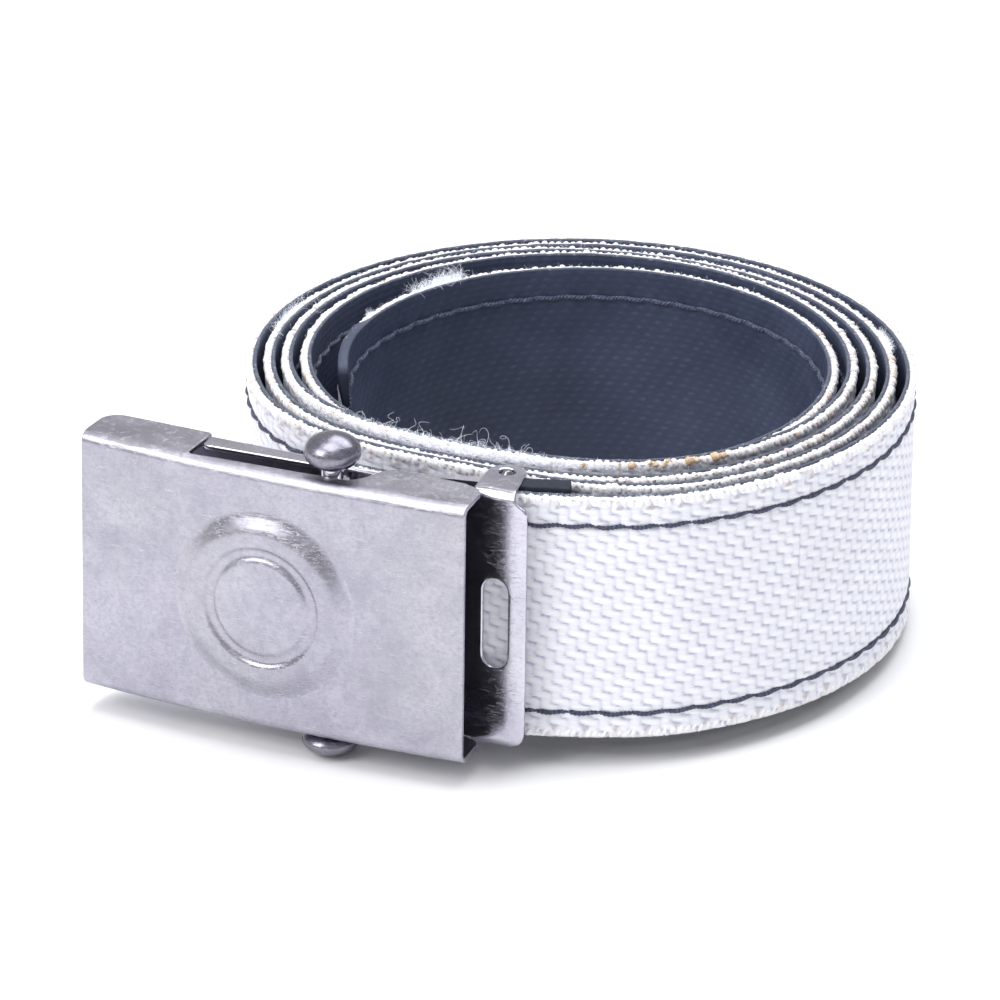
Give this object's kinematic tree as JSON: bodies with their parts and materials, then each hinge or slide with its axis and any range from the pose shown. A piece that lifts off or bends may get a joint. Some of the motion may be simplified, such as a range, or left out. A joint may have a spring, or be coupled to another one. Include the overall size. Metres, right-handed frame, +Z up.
{
  "type": "waist belt with box buckle",
  "caption": "Rolled-up two-layer textile and rubber belt with a sliding roller-lock box buckle and a hinged strap clamp.",
  "frame": {"origin": "on the coil's centre line, at the level of the strap's lower edge", "axes": "+X along the buckle towards its strap clamp, +Y from the buckle back into the coil, +Z up the strap's width"},
  "size_m": [0.1067, 0.1175, 0.0525],
  "materials": {
    "woven_jacket": "matte twill weave",
    "rubber_lining": "matte with a faint fabric imprint",
    "seam_thread": "twisted, slight sheen",
    "cover_steel": "tumbled nickel, fine swirls",
    "medallion_steel": "tumbled nickel, bright edges",
    "plate_steel": "tumbled nickel, half polished",
    "pin_steel": "polished",
    "lever_steel": "brushed",
    "pad_rubber": "matte",
    "spindle_steel": "polished",
    "roller_steel": "knurled",
    "knob_steel": "polished nickel"
  },
  "bodies": {
    "coil": {"strap_jacket": "woven_jacket", "strap_lining": "rubber_lining", "strap_stitching": "seam_thread"},
    "buckle": {"lead_jacket": "woven_jacket", "lead_lining": "rubber_lining", "lead_stitching": "seam_thread", "front_cover": "cover_steel", "cover_medallion": "medallion_steel", "back_plate": "plate_steel", "hinge_pin": "pin_steel", "clamp_pad": "pad_rubber"},
    "clamp": {"clamp_lever": "lever_steel"},
    "lock_bar": {"lock_spindle": "spindle_steel", "upper_knob": "knob_steel", "lower_knob": "knob_steel"},
    "roller": {"knurled_roller": "roller_steel"}
  },
  "joints": [
    {"name": "strap_lead_flex", "type": "hinge", "parent": "coil", "child": "buckle", "pos_m": [0.03978, -0.03338, 0.02], "axis": [0, 0, 1], "range_deg": [0, 50]},
    {"name": "clamp_lever_hinge", "type": "hinge", "parent": "buckle", "child": "clamp", "pos_m": [0.0092, -0.046, 0.02], "axis": [0, 0, -1], "range_deg": [0, 80]},
    {"name": "lock_bar_slide", "type": "slide", "parent": "buckle", "child": "lock_bar", "axis": [-0.9984, -0.0558, 0], "range_m": [0, 0.0205]},
    {"name": "roller_spin", "type": "hinge", "parent": "lock_bar", "child": "roller", "pos_m": [-0.0141, -0.0582, 0.02], "axis": [0, 0, 1], "continuous": true}
  ],
  "couplings": [
    {"joint": "clamp_lever_hinge", "follows": "strap_lead_flex", "ratio": 1.6}
  ]
}
